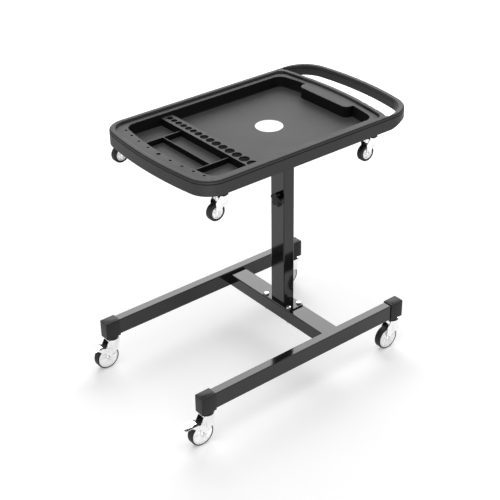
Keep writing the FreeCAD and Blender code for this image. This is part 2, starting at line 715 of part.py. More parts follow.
def make_stems(kind):
    stems = []
    races = []
    for corner in CORNERS:
        centre = caster_place(kind, corner)
        name = "%s_stem_%s" % (kind, corner)
        under_crown = crown_top(kind) + " - %s_plate - side_play" % kind
        steps = [
            (kind + "_stem", "-flange_thick / 2", kind + "_stem_up"),
            (kind + "_crown * 1.3", "-flange_thick", "0"),
            (kind + "_axle", under_crown + " - 1", "-flange_thick / 2"),
            (kind + "_axle * 1.8", under_crown + " - 2", under_crown),
        ]
        stems.append(fused(name, [cylinder("%s_%d" % (name, step), size, low, high, centre)
                                  for step, (size, low, high) in enumerate(steps, 1)]))
        disc = cylinder(name + "_race", kind + "_crown * 1.5", crown_top(kind), "-flange_thick", centre)
        hole = cylinder(name + "_race_hole", kind + "_axle", crown_top(kind) + " - 1",
                        "0", centre)
        races.append(bored(name + "_race_ring", disc, hole))
    group(kind + "_caster_stems", stems)
    group(kind + "_swivel_races", races)


def make_stem_nuts():
    nuts = []
    for corner in CORNERS:
        x, y, z = caster_place("base", corner)
        centre = (x, y, LEG_FOOT + " + tube_wall")
        block = hexagon("stem_nut_block_" + corner, "base_stem * 1.7", "0", "nut_thick", centre)
        thread = cylinder("stem_nut_thread_" + corner, "base_stem", "-1", "nut_thick + 1", centre)
        nuts.append(bored("stem_nut_" + corner, block, thread))
    group("stem_weld_nuts", nuts)


def make_fork(kind, corner, braked):
    """A pressed fork: a channel with a round crown, its cheeks raked back to the axle."""
    body = new_body("%s_fork_%s" % (kind, corner), *caster_place(kind, corner))
    top = crown_top(kind)
    crown, eye, plate = kind + "_crown", kind + "_eye", kind + "_plate"
    axle_x, axle_z = "-%s_trail" % kind, axle_height(kind)
    side = new_sketch(body, "XZ")
    draw_polygon(side, [
        ("-" + crown + " * 0.9", top),
        (crown + " * 0.9", top),
        (crown + " * 0.9", top + " - %s_shoulder / 2" % kind),
        (axle_x + " + " + eye, axle_z + " + " + eye + " / 2"),
        (axle_x + " + " + eye, axle_z + " - " + eye),
        (axle_x + " - " + eye, axle_z + " - " + eye),
        (axle_x + " - " + eye + " + fork_rake", top + " - %s_shoulder" % kind),
    ])
    pad(body, side, "2 * (%s + %s)" % (fork_inside(kind), plate), middle=True)
    foot = value(axle_z + " - " + eye)
    round_edges(body, eye + " * 0.97", lambda edge: runs_along(edge, 1) and at_height(edge, foot))
    roof = value(top)
    round_edges(body, plate + " * 1.4", lambda edge: runs_along(edge, 0) and at_height(edge, roof))
    channel = new_sketch(body, "YZ")
    inside = fork_inside(kind)
    draw_rectangle(channel, "-" + inside, inside, "-2 * %s_height" % kind, top + " - " + plate)
    pocket(body, channel, "8 * " + crown, middle=True)
    disc = new_sketch(body, "XY", top)
    draw_circle(disc, "0", "0", "2 * " + crown)
    pad(body, disc, plate, reverse=True)
    king_pin = new_sketch(body, "XY", top)
    draw_circle(king_pin, "0", "0", kind + "_axle + 2 * pin_play")
    pocket(body, king_pin, plate + " * 1.5")
    bore = new_sketch(body, "XZ")
    draw_circle(bore, axle_x, axle_z, kind + "_axle + 2 * pin_play")
    pocket(body, bore, "8 * " + crown, middle=True)
    if braked:
        outside = "%s + %s" % (inside, plate)
        arm = "2 * pedal_play + pedal_plate"
        for reverse, sign in ((False, ""), (True, "-")):
            for diameter, start, length in (("pedal_pin", outside, arm),
                                            ("pedal_pin * 1.6", outside + " + " + arm, "pedal_plate / 2")):
                stub = new_sketch(body, "XZ", sign + "(" + start + ")")
                draw_circle(stub, axle_x, axle_z + " + pedal_rise", diameter)
                pad(body, stub, length, reverse=reverse)


def make_axle(kind, corner):
    """A headed axle bolt with its nut run up to the fork."""
    x, y, z = caster_place(kind, corner)
    centre = (x + " - %s_trail" % kind, y, z + " + " + axle_height(kind))
    outside = fork_inside(kind) + " + %s_plate" % kind
    name = "%s_axle_%s" % (kind, corner)
    size = kind + "_axle"
    shank = cylinder(name + "_shank", size, "-(" + outside + " + 1)", outside + " + 1", centre, axis="Y")
    head = hexagon(name + "_head", size + " * 1.5", "-(" + outside + " + " + size + " * 0.35)",
                   "-(" + outside + ")", centre, axis="Y")
    nut = hexagon(name + "_nut", size + " * 1.5", outside, outside + " + " + size + " * 0.5",
                  centre, axis="Y")
    as_node(name, fused(name, [shank, head, nut]))


def make_wheel(kind, corner):
    """Tyre and wheel centre, turned about the Y axis."""
    x, y, z = caster_place(kind, corner)
    centre = (x + " - %s_trail" % kind, y, z + " + " + axle_height(kind))
    radius, hub, half = kind + "_radius", kind + "_hub", "(%s_tread / 2)" % kind
    tyre = new_body("%s_tyre_%s" % (kind, corner), *centre)
    section = new_sketch(tyre, "YZ")
    draw_rectangle(section, "-" + half, half, hub, radius)
    revolve(tyre, section, "H_Axis")
    edge_radius = value(radius)
    round_edges(tyre, half + " * 0.45", lambda edge: edge.Curve.TypeId == "Part::GeomCircle"
                and abs(edge.Curve.Radius - edge_radius) < 0.01)
    wheel = new_body("%s_wheel_%s" % (kind, corner), *centre)
    section = new_sketch(wheel, "YZ")
    bore = kind + "_axle / 2 + pin_play"
    boss = kind + "_axle * 0.95"
    boss_half = fork_inside(kind) + " - side_play"
    lip, web = half + " * 0.9", half + " * 0.45"
    right_side = [(boss_half, bore), (boss_half, boss), (web, boss + " + 1"),
                  (web, hub + " - %s_tread * 0.2" % kind), (lip, hub + " - %s_tread * 0.1" % kind),
                  (lip, hub)]
    left_side = [("-(" + along + ")", out) for along, out in reversed(right_side)]
    draw_polygon(section, right_side + left_side)
    revolve(wheel, section, "H_Axis")


def make_brake_pedal(corner):
    """A foot pedal over the tyre, hung on two pins of the fork, with a lip that nears the tyre."""
    x, y, z = caster_place("base", corner)
    body = new_body("brake_pedal_" + corner, x + " - base_trail", y,
                    z + " + " + axle_height("base") + " + pedal_rise")
    inside = "%s + base_plate + pedal_play" % fork_inside("base")
    cheeks = new_sketch(body, "XZ")
    eye = "pedal_pin * 1.4"
    draw_polygon(cheeks, [
        ("pedal_pin * 1.1", "-" + eye + " * 0.6"),
        ("pedal_pin * 1.1", eye),
        ("-pedal_near", "pedal_lift"),
        ("-pedal_far * 0.62", "pedal_lift"),
        ("-pedal_near * 1.3", "0"),
        ("-pedal_pin", "-" + eye),
    ])
    pad(body, cheeks, "2 * (%s + pedal_plate)" % inside, middle=True)
    gap = new_sketch(body, "YZ")
    draw_rectangle(gap, "-(" + inside + ")", inside, "-pedal_far", "pedal_far")
    pocket(body, gap, "4 * pedal_far", middle=True)
    tread = new_sketch(body, "XZ")
    draw_polygon(tread, [
        ("-pedal_near", "pedal_lift - pedal_lip"),
        ("-pedal_near", "pedal_lift + pedal_plate"),
        ("-pedal_far", "pedal_lift + pedal_plate"),
        ("-pedal_far", "pedal_lift"),
        ("-pedal_near - pedal_plate", "pedal_lift"),
        ("-pedal_near - pedal_plate", "pedal_lift - pedal_lip"),
    ])
    pad(body, tread, "2 * (%s + pedal_plate)" % inside, middle=True)
    far = value("pedal_far")
    round_edges(body, "pedal_pin", lambda edge: runs_along(edge, 2)
                and abs(middle_of(edge).x + far) < 0.01)
    bore = new_sketch(body, "XZ")
    draw_circle(bore, "0", "0", "pedal_pin + 2 * pin_play")
    pocket(body, bore, "4 * pedal_far", middle=True)


# The tray, one moulding: skirt, rolled rim, grab bar, well, dividers, socket strip and bosses

def draw_handle_band(sketch):
    """The U of the grab bar: bowed bar, round corners, and side rails that thin towards the tray."""
    half, reach = value("rim_half"), value("handle_reach")
    bow, corner, thick = value("handle_bow"), value("handle_corner"), value("handle_thick")
    start = value("rail_start")
    bow_centre, outer_c, outer_side, outer_bow = corner_of(reach, bow, corner, half, 1)
    inner_corner, inner_bow_radius = corner - thick, bow - thick
    centre, inner_c, inner_side, inner_bow = corner_of(reach - thick, inner_bow_radius,
                                                       inner_corner, half - thick, 1)
    root = Vector(start, half - value("rail_root"), 0)
    to_centre = inner_c - root
    turn = math.atan2(to_centre.y, to_centre.x) + math.asin(inner_corner / to_centre.Length)
    run = math.sqrt(to_centre.Length ** 2 - inner_corner ** 2)
    touch = root + Vector(math.cos(turn), math.sin(turn), 0) * run
    end = Vector(start, half, 0)
    for piece in (
        Part.LineSegment(flipped(end), flipped(outer_side)),
        arc(flipped(outer_c), corner, flipped(outer_side), flipped(outer_bow)),
        arc(bow_centre, bow, flipped(outer_bow), outer_bow),
        arc(outer_c, corner, outer_bow, outer_side),
        Part.LineSegment(outer_side, end),
        Part.LineSegment(end, root),
        Part.LineSegment(root, touch),
        arc(inner_c, inner_corner, inner_bow, touch),
        arc(centre, inner_bow_radius, flipped(inner_bow), inner_bow),
        arc(flipped(inner_c), inner_corner, flipped(touch), flipped(inner_bow)),
        Part.LineSegment(flipped(touch), flipped(root)),
        Part.LineSegment(flipped(root), flipped(end)),
    ):
        sketch.addGeometry(piece, False)
    joints = [("Tangent", 0, 2, 1, 1), ("Tangent", 1, 2, 2, 1), ("Tangent", 2, 2, 3, 1),
              ("Tangent", 3, 2, 4, 1), ("Coincident", 4, 2, 5, 1), ("Coincident", 5, 2, 6, 1),
              ("Tangent", 6, 2, 7, 2), ("Tangent", 7, 1, 8, 2), ("Tangent", 8, 1, 9, 2),
              ("Tangent", 9, 1, 10, 1), ("Coincident", 10, 2, 11, 1), ("Coincident", 11, 2, 0, 1),
              ("Horizontal", 0), ("Horizontal", 4), ("Equal", 1, 3), ("Equal", 7, 9),
              ("PointOnObject", 2, 3, -1), ("PointOnObject", 8, 3, -1)]
    for joint in joints:
        sketch.addConstraint(Sketcher.Constraint(*joint))
    for line, end_name, x, y in ((0, 1, "rail_start", "-rim_half"), (5, 1, "rail_start", "rim_half"),
                                 (6, 1, "rail_start", "rim_half - rail_root"),
                                 (10, 2, "rail_start", "-(rim_half - rail_root)")):
        tie_point(sketch, line, end_name, x, y)
    tie(sketch, "Radius", (1,), "handle_corner")
    tie(sketch, "Radius", (2,), "handle_bow")
    tie(sketch, "Radius", (7,), "handle_corner - handle_thick")
    tie(sketch, "Radius", (8,), "handle_bow - handle_thick")
    for bow_arc in (2, 8):
        tie(sketch, "DistanceX", (-1, 1, bow_arc, 3), "handle_reach - handle_bow")
    for corner_arc, sign in ((7, ""), (9, "-")):
        tie(sketch, "DistanceY", (-1, 1, corner_arc, 3), sign + "(rim_half - handle_corner)")


def draw_tray_ring(sketch, inset):
    """The outside of the tray, moved inwards."""
    draw_bowed(sketch, "rim_half - " + inset, "left_reach - " + inset, "left_bow - " + inset,
               "left_corner - " + inset, "end_reach - " + inset, "end_bow - " + inset,
               "end_corner - " + inset)


def draw_well(sketch, outset):
    draw_bowed(sketch, "well_half + " + outset, "well_left + " + outset, "well_left_bow + " + outset,
               "well_corner + " + outset, "well_end + " + outset, "well_end_bow + " + outset,
               "well_corner + " + outset)


def make_tray():
    body = new_body("tray", MIDDLE, "0", TRAY_FOOT)
    band = new_sketch(body, "XY")
    draw_handle_band(band)
    pad(body, band, "rim_tall")
    outside = new_sketch(body, "XY")
    draw_tray_ring(outside, "0")
    pad(body, outside, "rim_tall")
    relief = new_sketch(body, "XZ")
    draw_polygon(relief, [
        ("relief_start", "0"),
        ("relief_start", "-rim_tall"),
        ("2 * handle_reach", "-rim_tall"),
        ("2 * handle_reach", "handle_rise"),
        ("relief_end", "handle_rise"),
    ])
    pocket(body, relief, "3 * rim_half", middle=True)
    slot_from = value("rail_start")
    rail = value("rim_half") - 1
    round_edges(body, "slot_tip", lambda edge: runs_along(edge, 2)
                and middle_of(edge).x > slot_from and abs(middle_of(edge).y) < rail)
    rim_top = value("rim_tall")
    round_edges(body, "rim_round", lambda edge: at_height(edge, rim_top))
    cut_well(body)
    add_inner_walls(body)
    hollow_underside(body)
    add_bosses(body)
    cut_tool_holes(body)


def cut_well(body):
    """The step inside the rim bead, then the drafted well with a rounded foot."""
    bead = new_sketch(body, "XY", "rim_tall")
    draw_tray_ring(bead, "bead_wide")
    pocket(body, bead, "bead_tall")
    rim_top = value("rim_tall")
    ledge = value(LEDGE)
    inner, end = value("rim_half - bead_wide"), value("end_reach - bead_wide")
    round_edges(body, "rim_round", lambda edge: at_height(edge, rim_top)
                and abs(middle_of(edge).y) < inner + 0.01 and middle_of(edge).x < end + 0.01)
    well = new_sketch(body, "XY", LEDGE)
    draw_well(well, "0")
    pocket(body, well, LEDGE + " - floor_thick", draft="-well_draft")
    floor = value("floor_thick")
    round_edges(body, "well_fillet", lambda edge: at_height(edge, floor))
    side = value("well_half")
    round_edges(body, "well_fillet / 3", lambda edge: at_height(edge, ledge)
                and abs(middle_of(edge).y) < side + 0.01
                and -value("well_left") - 0.01 < middle_of(edge).x < value("well_end") + 0.01)


def add_inner_walls(body):
    """Socket strip, dividers and the raised box, standing on the floor."""
    strip = new_sketch(body, "XY", "floor_thick")
    draw_rectangle(strip, "-strip_left", "-strip_right", "-(well_half + 1)", "well_half + 1")
    pad(body, strip, "strip_tall")
    walls = new_sketch(body, "XY", "floor_thick")
    half = "divider_thick / 2"
    for side in ("", "-"):
        draw_rectangle(walls, "-(well_left + 1)", "-(strip_left - 1)",
                       side + "divider_side - " + half, side + "divider_side + " + half)
    pad(body, walls, "divider_tall")
    cross = new_sketch(body, "XY", "floor_thick")
    draw_rectangle(cross, "-divider_cross - " + half, "-divider_cross + " + half,
                   "-divider_side", "divider_side")
    pad(body, cross, "divider_tall")
    box = new_sketch(body, "XY", "floor_thick")
    draw_rectangle(box, "box_left", "well_end + 1", "-box_half", "box_half")
    pad(body, box, LEDGE + " - floor_thick")
    near = value("box_left")
    round_edges(body, "box_corner", lambda edge: runs_along(edge, 2)
                and abs(middle_of(edge).x - near) < 0.01)
    ledge = value(LEDGE)
    round_edges(body, "well_fillet / 3", lambda edge: at_height(edge, ledge)
                and abs(middle_of(edge).y) < value("box_half") + 0.01
                and near - 0.01 < middle_of(edge).x < value("well_end") - 5)


def hollow_underside(body):
    """The channel under the rim, and the hollows under the strip and the box."""
    channel = new_sketch(body, "XY")
    draw_tray_ring(channel, "moulded_wall")
    draw_well(channel, "moulded_wall")
    pocket(body, channel, CHANNEL_TOP, reverse=True)
    strip = new_sketch(body, "XY")
    draw_rectangle(strip, "-strip_left + moulded_wall", "-strip_right - moulded_wall",
                   "-(well_half + moulded_wall + 1)", "well_half + moulded_wall + 1")
    pocket(body, strip, "floor_thick + strip_tall - moulded_wall", reverse=True)
    box = new_sketch(body, "XY")
    draw_polygon(box, [
        ("box_left + moulded_wall", "-(box_half - box_corner)"),
        ("box_left + box_corner", "-(box_half - moulded_wall)"),
        ("well_end + moulded_wall + 1", "-(box_half - moulded_wall)"),
        ("well_end + moulded_wall + 1", "box_half - moulded_wall"),
        ("box_left + box_corner", "box_half - moulded_wall"),
        ("box_left + moulded_wall", "box_half - box_corner"),
    ])
    pocket(body, box, CHANNEL_TOP, reverse=True)


def add_bosses(body):
    """Bored bosses for the tray casters, and the thick pad that the socket is screwed to."""
    bosses = new_sketch(body, "XY")
    for stem in ("tray_stem_left", "tray_stem_right"):
        for side in ("", "-"):
            draw_circle(bosses, stem, side + "tray_stem_apart / 2", "stem_boss")
            draw_circle(bosses, stem, side + "tray_stem_apart / 2", "tray_stem")
    pad(body, bosses, CHANNEL_TOP)
    thick_pad = new_sketch(body, "XY")
    draw_rectangle(thick_pad, "post_place - pad_across / 2", "post_place + pad_across / 2",
                   "-pad_deep / 2", "pad_deep / 2")
    pad(body, thick_pad, "pad_thick", reverse=True)
    screw_holes = new_sketch(body, "XY", "-pad_thick")
    for x, y in four_places("socket_screw_side", "socket_screw_end"):
        draw_circle(screw_holes, "post_place + " + x, y, "socket_screw")
    pocket(body, screw_holes, "socket_screw_deep", reverse=True)


def cut_tool_holes(body):
    """A curved row of driver holes along the end ledge, and the row of socket holes."""
    drivers = new_sketch(body, "XY", LEDGE)
    draw_circle(drivers, "-(well_left + driver_inset)", "0", "driver_hole_middle")
    row_bow = "(well_left_bow + driver_inset)"
    for side in DRIVER_HOLE_SIDES:
        drop = "%s - sqrt(%s * %s - %d * %d)" % (row_bow, row_bow, row_bow, side, side)
        for sign in (-1, 1):
            draw_circle(drivers, "-(well_left + driver_inset) + " + drop, "%d" % (sign * side),
                        "driver_hole")
    pocket(body, drivers, "2 * moulded_wall")
    sockets = new_sketch(body, "XY", "floor_thick + strip_tall")
    edge = "socket_row_start"
    for diameter in SOCKET_HOLES:
        draw_circle(sockets, "-(strip_left + strip_right) / 2", "%s - %g" % (edge, diameter / 2),
                    "%g" % diameter)
        edge = "%s - %g - socket_web" % (edge, diameter)
    pocket(body, sockets, "2 * moulded_wall")


def make_all():
    for name, side in (("leg_front", -1), ("leg_rear", 1)):
        make_leg(name, side)
    for corner, (end, side) in CORNERS.items():
        make_end_cap("end_cap_" + corner, end, side)
    make_cross_bar()
    make_foot_plate()
    make_foot_fasteners()
    make_post()
    make_guide_sleeve()
    make_mast()
    make_mast_plug()
    make_lock_boss()
    make_lock_screw()
    make_knob()
    make_tray_socket()
    make_socket_screws()
    make_tray()
    make_stem_nuts()
    for kind in ("base", "tray"):
        make_stems(kind)
        for corner, (end, side) in CORNERS.items():
            braked = kind == "base" and end < 0
            make_fork(kind, corner, braked)
            make_axle(kind, corner)
            make_wheel(kind, corner)
            if braked:
                make_brake_pedal(corner)


def check_and_export():
    doc.recompute()
    for item in doc.Objects:
        if "Invalid" in item.State or "Error" in item.State:
            raise RuntimeError("%s failed: %s" % (item.Name, item.State))
    os.makedirs("parts", exist_ok=True)
    for node in nodes:
        shape = node.Shape
        if shape.isNull() or not shape.isValid() or not shape.Solids:
            raise RuntimeError("%s has no valid solid" % node.Label)
    for node in nodes:
        node.Shape.exportStep("parts/%s.step" % node.Label)
    print("wrote %d sub-parts" % len(nodes))


make_all()
check_and_export()
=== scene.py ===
import bmesh
import bpy
import json
import math
from bpy.props import FloatProperty, FloatVectorProperty, IntProperty, PointerProperty
from mathutils import Matrix, Vector


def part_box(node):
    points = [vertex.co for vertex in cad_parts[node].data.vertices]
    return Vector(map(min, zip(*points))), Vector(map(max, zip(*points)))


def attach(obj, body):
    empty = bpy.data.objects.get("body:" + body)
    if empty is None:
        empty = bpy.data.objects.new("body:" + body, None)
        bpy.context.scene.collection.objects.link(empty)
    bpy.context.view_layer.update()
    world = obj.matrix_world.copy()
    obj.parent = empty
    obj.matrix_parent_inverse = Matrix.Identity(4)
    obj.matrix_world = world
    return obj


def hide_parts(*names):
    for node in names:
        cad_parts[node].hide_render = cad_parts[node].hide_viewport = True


bl_info = {
    "name": "Lifting work table",
    "version": (1, 0, 0),
    "blender": (4, 5, 0),
    "location": "3D view, sidebar, Work table",
    "description": "Dresses the lifting work table, from tray to casters, and sets its stage",
    "category": "Object",
}

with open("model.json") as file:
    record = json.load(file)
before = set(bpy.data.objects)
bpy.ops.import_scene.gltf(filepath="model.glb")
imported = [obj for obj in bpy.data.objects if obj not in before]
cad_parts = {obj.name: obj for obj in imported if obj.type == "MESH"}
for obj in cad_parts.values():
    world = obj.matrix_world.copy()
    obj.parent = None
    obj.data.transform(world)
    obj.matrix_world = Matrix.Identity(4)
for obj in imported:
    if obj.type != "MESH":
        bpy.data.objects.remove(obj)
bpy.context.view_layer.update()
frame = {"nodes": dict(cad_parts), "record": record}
BODIES = frame["record"]["behaviour"]["bodies"]
CARRIER = {node: body for body, nodes in BODIES.items() for node in nodes}
CORNERS = ("front_left", "rear_left", "front_right", "rear_right")
BRAKED = CORNERS[:2]
KINDS = ("base", "tray")
MM = 0.001

# Points nearer than the first are merged, and the second is the play of fits and tests
MERGE = 0.01 * MM
HAIR = 0.1 * MM

# Angles between faces, in degrees: one plane, one smooth surface, and an edge to bevel
FLAT_BELOW, SMOOTH_BELOW, BEVEL_ABOVE = 0.4, 32, 35

# Softening of small bars, of plate and wheel centres, of the grip ribs and of the disc
BAR_EDGE, PLATE_EDGE, GRIP_EDGE, DISC_EDGE = 0.4 * MM, 0.5 * MM, 0.25 * MM, 0.15 * MM

# The disc's border, and the width and depth of the step inside it
DISC_BORDER, DISC_STEP, DISC_SINK = 2 * MM, 0.8 * MM, 0.2 * MM

# Areas of the tray, in metres: half width, start and end along X
FLOOR_AREA = (0.199, -0.292, 0.303)
LID_AREA = (0.104, 0.302, 0.3195)
INNER_AREA = (0.206, -0.316, 0.312)
GROOVE_INNER = (0.21, -0.325, 0.315)
LID_TAPER = 0.8
# Half the height of the band of painted shade along the seam groove
SEAM_SHADE_HALF = 1.1 * MM

# The part of a normal along an axis: of a face square to the axis, and of a steep one at most
FLAT, STEEP = 0.9, 0.6

# The groove's edges about the seam, in millimetres, and its depth
GROOVE_EDGES = (-1.6, -0.9, 0.7, 1.4)
GROOVE_DEPTH = 1.2 * MM

# Where the fine cuts of the grab bar's corners begin before the corner, and how far apart they are
CUT_LEAD, CUT_STEP = 0.5 * MM, 6 * MM

# Ribs that close the socket strip: size, place along X, half the distance, and rise over the socket
STRIP_RIB = Vector((34, 2.4, 21)) * MM
STRIP_MIDDLE = -135.75 * MM
STRIP_HALF = 205 * MM
STRIP_RISE = 12.5 * MM

# Forks: radius of the crown, plate, what the round front lies under the crown and reaches back
CROWNS = {"base": 20 * MM, "tray": 17 * MM}
PLATE = 2 * MM
FRONT_DROP = 0.4 * MM
FRONT_BACK = 12 * MM

# Tyres: the mould line's depth
MOULD_LINE = 0.4 * MM

# Wheel centres: bore, hub, and lip, web and wall as parts of half the tyre's width
BORES = {"base": 4.05 * MM, "tray": 3.05 * MM}
HUBS = {"base": 7.6 * MM, "tray": 5.7 * MM}
LIP_PART, WEB_PART, WALL_PART = 0.9, 0.45, 0.16
WALL_LEAST = 0.4 * MM
FILLET_PART = 0.12

# Spokes: thickness, height as a part of the dish, and how they reach into hub and wall
SPOKE_THICK, SPOKE_PART = 1.6 * MM, 0.55
SPOKE_IN_HUB, SPOKE_IN_WALL = 0.9, 0.7

# Grip ribs of the pedals: number, first place, pitch, width, height and part of the pedal's width
GRIP_COUNT = 4
GRIP_START, GRIP_PITCH, GRIP_WIDE, GRIP_HIGH = 7 * MM, 5 * MM, 1.8 * MM, 0.6 * MM
GRIP_PART = 0.72

# Swivel covers: inner radius as a part of the crown, thickness, rounding, rise over race, play
COVER_PART = 0.75
COVER_THICK, COVER_ROUND, COVER_RISE, COVER_PLAY = 1.6 * MM, 1.2 * MM, 3 * MM, 0.4 * MM

# Lamps: direction from the table, distance, width and height in metres, and power in watts
BEHIND = (0.5534, 0.6528, 0.5173)
LAMP_AIM = Vector((0, 0, 0.45))
LAMPS = {
    "back_softbox": (BEHIND, 3.4, 3.2, 2.4, 82),
    "top_softbox": ((-0.25, -0.2, 0.95), 3.0, 2.2, 2.2, 26),
    "front_softbox": ((-0.55, -0.83, -0.02), 3.0, 1.8, 0.7, 34),
}

# The floor's glow, near and far, and the squared distance where it starts to rise
GLOW_NEAR, GLOW_FAR = 0.3, 0.65
GLOW_START, GLOW_RISE = 1.5, 0.3
WORLD_FILL, WORLD_SEEN = 0.45, 1.0

# The camera: direction from the table, what it looks at, distance, and its lens
CAMERA_SIDE = (-0.5534, -0.6528, 0.5173)
CAMERA_AIM = Vector((0.07845, -0.0511, 0.3421))
CAMERA_AWAY = 3.5463
CAMERA_LENS = {"lens": 86.4, "sensor_width": 36, "shift_x": -0.0648, "shift_y": 0.0141,
               "clip_end": 50}


# Sizes and colours that a user would change

def length(name, description, default):
    return FloatProperty(name=name, description=description, default=default, min=0,
                         unit="LENGTH", subtype="DISTANCE")


def colour(name, description, default):
    return FloatVectorProperty(name=name, description=description, default=default, size=4,
                               min=0, max=1, subtype="COLOR")


class TableSizes(bpy.types.PropertyGroup):
    edge: length("Edge", "Softening of the folded and moulded edges", 0.5 * MM)
    tyre_corner_base: length("Base tyre corner", "Rounding of the base tyres", 2.6 * MM)
    tyre_corner_tray: length("Tray tyre corner", "Rounding of the tray tyres", 4.5 * MM)
    disc_radius: length("Disc radius", "Plain round disc on the tray floor", 40 * MM)
    disc_thick: length("Disc thickness", "Thickness of that disc", 0.6 * MM)
    disc_place: length("Disc place", "Disc from the middle of the table, along X", 73 * MM)
    spokes: IntProperty(name="Spokes", description="Ribs in each side of a wheel centre",
                        default=6, min=3, max=12)
    face_base: length("Base wheel face", "Radius of the base wheel centres", 33.5 * MM)
    face_tray: length("Tray wheel face", "Radius of the tray wheel centres", 17.5 * MM)
    front_base: length("Base fork front", "Height of the base forks' round front", 37 * MM)
    front_tray: length("Tray fork front", "Height of the tray forks' round front", 27 * MM)
    bar_corner: length("Grab bar corner", "Corner radius of the grab bar", 92 * MM)
    bar_solid_corner: length("Solid's corner", "Corner radius of the grab bar's solid", 58 * MM)
    bar_bow: length("Grab bar bow", "Bow radius of the grab bar", 900 * MM)
    hatch: length("Hatch", "Pitch of the tray's moulded texture", 8.6 * MM)
    seam: length("Seam", "Groove between skirt and rim, above the floor", 781 * MM)


class TableColours(bpy.types.PropertyGroup):
    paint: colour("Paint", "Black gloss paint of the steel", (0.0045, 0.0045, 0.005, 1))
    tray_floor: colour("Tray floor", "Textured moulding", (0.059, 0.059, 0.06, 1))
    tray_rim: colour("Tray rim", "Smooth moulding", (0.013, 0.013, 0.0134, 1))
    cap: colour("Caps", "Moulded end caps and swivel covers", (0.013, 0.013, 0.0135, 1))
    knob: colour("Knob", "Gloss moulded knob", (0.004, 0.004, 0.004, 1))
    slide: colour("Slide", "Guide sleeve and foot plug", (0.02, 0.02, 0.02, 1))
    rubber: colour("Rubber", "Tyres", (0.009, 0.009, 0.009, 1))
    wheel: colour("Wheel centre", "Moulded wheel centres", (0.93, 0.93, 0.93, 1))
    chrome: colour("Chrome", "Plated forks and pedals", (0.92, 0.92, 0.93, 1))
    zinc: colour("Zinc", "Bolts, nuts and races", (0.72, 0.73, 0.75, 1))
    disc: colour("Disc", "Plain disc on the tray floor", (0.86, 0.86, 0.86, 1))
    floor: colour("Studio floor", "Floor under the table", (0.82, 0.82, 0.82, 1))


def sizes():
    return bpy.context.scene.table_sizes


def size_of(name, kind):
    """A size that base and tray casters have each their own of."""
    return getattr(sizes(), "%s_%s" % (name, kind))


def colours():
    return bpy.context.scene.table_colours


def assign(item, settings):
    for key, setting in settings.items():
        setattr(item, key, setting)


# Finishes, written as expressions on sockets

class Wire:
    """A value in a graph: a node's socket that takes part in sums and products."""

    def __init__(self, graph, socket):
        self.graph = graph
        self.socket = socket

    def maths(self, operation, *items):
        return self.graph.node("ShaderNodeMath", {"operation": operation}, dict(enumerate(items)))

    def __add__(self, other):
        return self.maths("ADD", self, other)

    def __sub__(self, other):
        return self.maths("SUBTRACT", self, other)

    def __rsub__(self, other):
        return self.maths("SUBTRACT", other, self)

    def __mul__(self, other):
        return self.maths("MULTIPLY", self, other)

    def __gt__(self, other):
        return self.maths("GREATER_THAN", self, other)

    def __lt__(self, other):
        return self.maths("LESS_THAN", self, other)

    def __abs__(self):
        return self.maths("ABSOLUTE", self)

    def sine(self):
        return self.maths("SINE", self)

    __radd__ = __add__
    __rmul__ = __mul__


class Graph:
    """The nodes of a material or of the world."""

    def __init__(self, tree):
        self.tree = tree

    def node(self, kind, settings=None, sockets=None, output=0):
        made = self.tree.nodes.new(kind)
        assign(made, settings or {})
        for key, item in (sockets or {}).items():
            self.feed(made.inputs[key], item)
        return Wire(self, made.outputs[output])

    def feed(self, socket, item):
        if isinstance(item, Wire):
            self.tree.links.new(item.socket, socket)
        else:
            socket.default_value = item

    def seen(self):
        """1 for what is seen, straight or in a mirror, and 0 for light that falls on a surface."""
        rays = self.node("ShaderNodeLightPath").socket.node.outputs
        camera, glossy, through = [Wire(self, rays["Is %s Ray" % kind])
                                   for kind in ("Camera", "Glossy", "Transmission")]
        return camera + glossy + through


class Finish(Graph):
    """A procedural material, built on the piece's own coordinates."""

    def __init__(self, name):
        self.material = bpy.data.materials.new(name)
        self.material.use_nodes = True
        super().__init__(self.material.node_tree)
        self.shader = self.tree.nodes["Principled BSDF"]

    def place(self, output="Object"):
        return self.node("ShaderNodeTexCoord", output=output)

    def split(self, vector):
        """The three numbers of a vector."""
        parts = self.node("ShaderNodeSeparateXYZ", None, {0: vector}).socket.node
        return [Wire(self, output) for output in parts.outputs]

    def noise(self, scale, detail=2.0, stretch=(1, 1, 1)):
        """Soft random values, scale per metre."""
        where = self.node("ShaderNodeMapping", None, {"Vector": self.place(), "Scale": stretch})
        return self.node("ShaderNodeTexNoise", None,
                         {"Vector": where, "Scale": scale, "Detail": detail})

    def mixed(self, mask, low, high):
        """One colour where the mask is 0 and the other where it is 1."""
        return self.node("ShaderNodeMix", {"data_type": "RGBA"}, {0: mask, 6: low, 7: high}, 2)

    def bump(self, height, strength, distance):
        return self.node("ShaderNodeBump", None,
                         {"Height": height, "Strength": strength, "Distance": distance})

    def set(self, **sockets):
        for name, item in sockets.items():
            title = name.replace("_", " ").title().replace("Ior", "IOR")
            self.feed(self.shader.inputs[title], item)
        return self.material


def shade(tone, factor):
    return tuple(part * factor for part in tone[:3]) + (1,)


def grey(level):
    return (level, level, level, 1)


def within(across, along, area):
    """1 inside the area of the tray and 0 beside it, for numbers and for wires."""
    half_width, start, end = area
    return (across < half_width) * (along > start) * (along < end)


def gloss_paint():
    """Black gloss paint: nearly a mirror, with a faint orange peel and dust-dulled clouds."""
    finish = Finish("black_gloss_paint")
    tone = colours().paint
    cloud = finish.noise(9, 3)
    return finish.set(base_color=finish.mixed(cloud, shade(tone, 0.8), shade(tone, 1.3)),
                      roughness=0.05 + 0.07 * cloud,
                      normal=finish.bump(finish.noise(420, 1), 0.035, 0.4 * MM))


